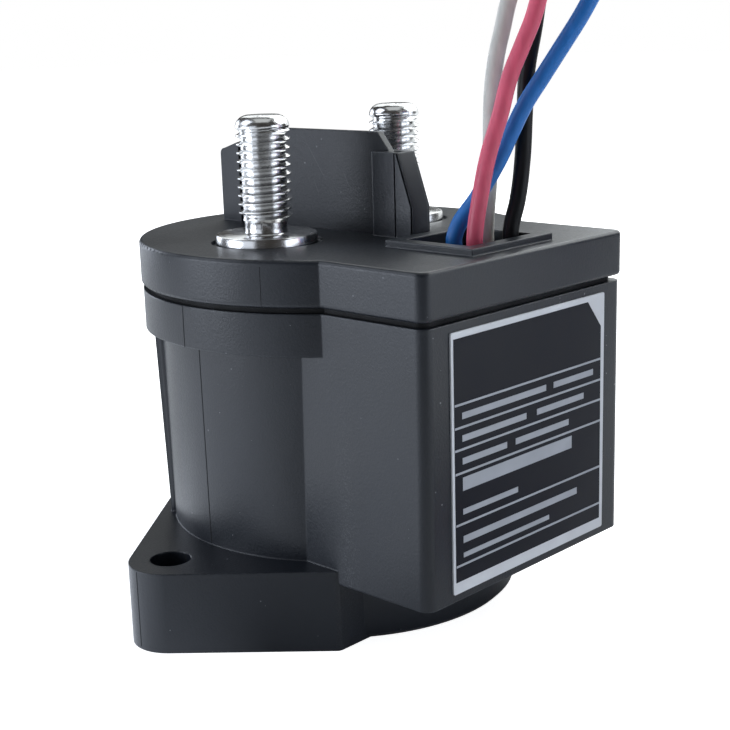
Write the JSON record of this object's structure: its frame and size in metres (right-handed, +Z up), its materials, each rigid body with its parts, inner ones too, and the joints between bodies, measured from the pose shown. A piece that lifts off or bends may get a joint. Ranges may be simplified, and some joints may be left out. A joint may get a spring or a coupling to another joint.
{
  "type": "high voltage dc contactor",
  "caption": "Sealed switch in a round dark moulded body with a side box, stud terminals parted by a barrier, lugs for screws and loose coil leads.",
  "frame": {"origin": "on the round body's axis, in the plane of its foot", "axes": "+Z up along the studs, +X towards the box with the rating plate, +Y towards the rear stud"},
  "size_m": [0.1296, 0.0824, 0.111],
  "materials": {
    "moulding": "fine matt moulded grain",
    "seal_rubber": "matt rubber",
    "plated_terminal": "bright tin plating",
    "plate_print": "printed film, black panel with a pale border",
    "resin": "cast black resin",
    "ceramic": "unglazed ceramic",
    "contact_alloy": "satin silver alloy",
    "copper": "bare copper",
    "spring_steel": "drawn wire",
    "turned_steel": "turned steel",
    "soft_iron": "nickel plated soft iron",
    "magnet": "sintered magnet",
    "bobbin_nylon": "glass filled nylon",
    "enamel_wire": "enamelled copper wire",
    "board": "solder mask",
    "component_case": "moulded epoxy",
    "can": "sleeved aluminium can",
    "reed_glass": "smoked glass capsule, shown solid",
    "white_jacket": "soft insulation",
    "black_jacket": "soft insulation",
    "blue_jacket": "soft insulation",
    "red_jacket": "soft insulation",
    "tinned_strand": "tinned copper strands",
    "tie_nylon": "nylon"
  },
  "bodies": {
    "base": {"housing": "moulding", "lid": "moulding", "lid_seal": "seal_rubber", "barrier_plate": "moulding", "terminal_stud_front": "plated_terminal", "terminal_stud_rear": "plated_terminal", "stud_seals": "seal_rubber", "rating_plate": "plate_print", "resin_seal": "resin", "arc_chamber": "ceramic", "fixed_contact_tips": "contact_alloy", "return_spring": "spring_steel", "fixed_core": "soft_iron", "guide_tube": "turned_steel", "stop_pad": "seal_rubber", "coil_bobbin": "bobbin_nylon", "coil_winding": "enamel_wire", "yoke_cup": "soft_iron", "yoke_top_plate": "soft_iron", "blowout_magnets": "magnet", "magnet_keepers": "soft_iron", "driver_board": "board", "board_capacitor": "can", "board_transistor": "component_case", "board_chips": "component_case", "reed_switch": "reed_glass", "lead_white": "white_jacket", "lead_black": "black_jacket", "lead_blue": "blue_jacket", "lead_red": "red_jacket", "lead_coil": "white_jacket", "lead_tips": "tinned_strand", "lead_tie": "tie_nylon"},
    "plunger": {"armature": "soft_iron", "contact_shaft": "turned_steel", "shaft_clip": "spring_steel", "aux_magnet": "magnet", "contact_spring": "spring_steel"},
    "bridge": {"contact_bridge": "copper", "bridge_contact_tips": "contact_alloy"}
  },
  "joints": [
    {"name": "armature_stroke", "type": "slide", "parent": "base", "child": "plunger", "axis": [0, 0, 1], "range_m": [0, 0.0023], "stiffness_N_per_m": 1500, "springref_m": -0.004, "deforming": ["return_spring"]},
    {"name": "bridge_overtravel", "type": "slide", "parent": "plunger", "child": "bridge", "axis": [0, 0, 1], "range_m": [-0.0008, 0], "stiffness_N_per_m": 6000, "springref_m": 0.001, "deforming": ["contact_spring"]}
  ],
  "couplings": [
    {"joint": "bridge_overtravel", "follows": "armature_stroke", "ratio": -0.34783}
  ]
}
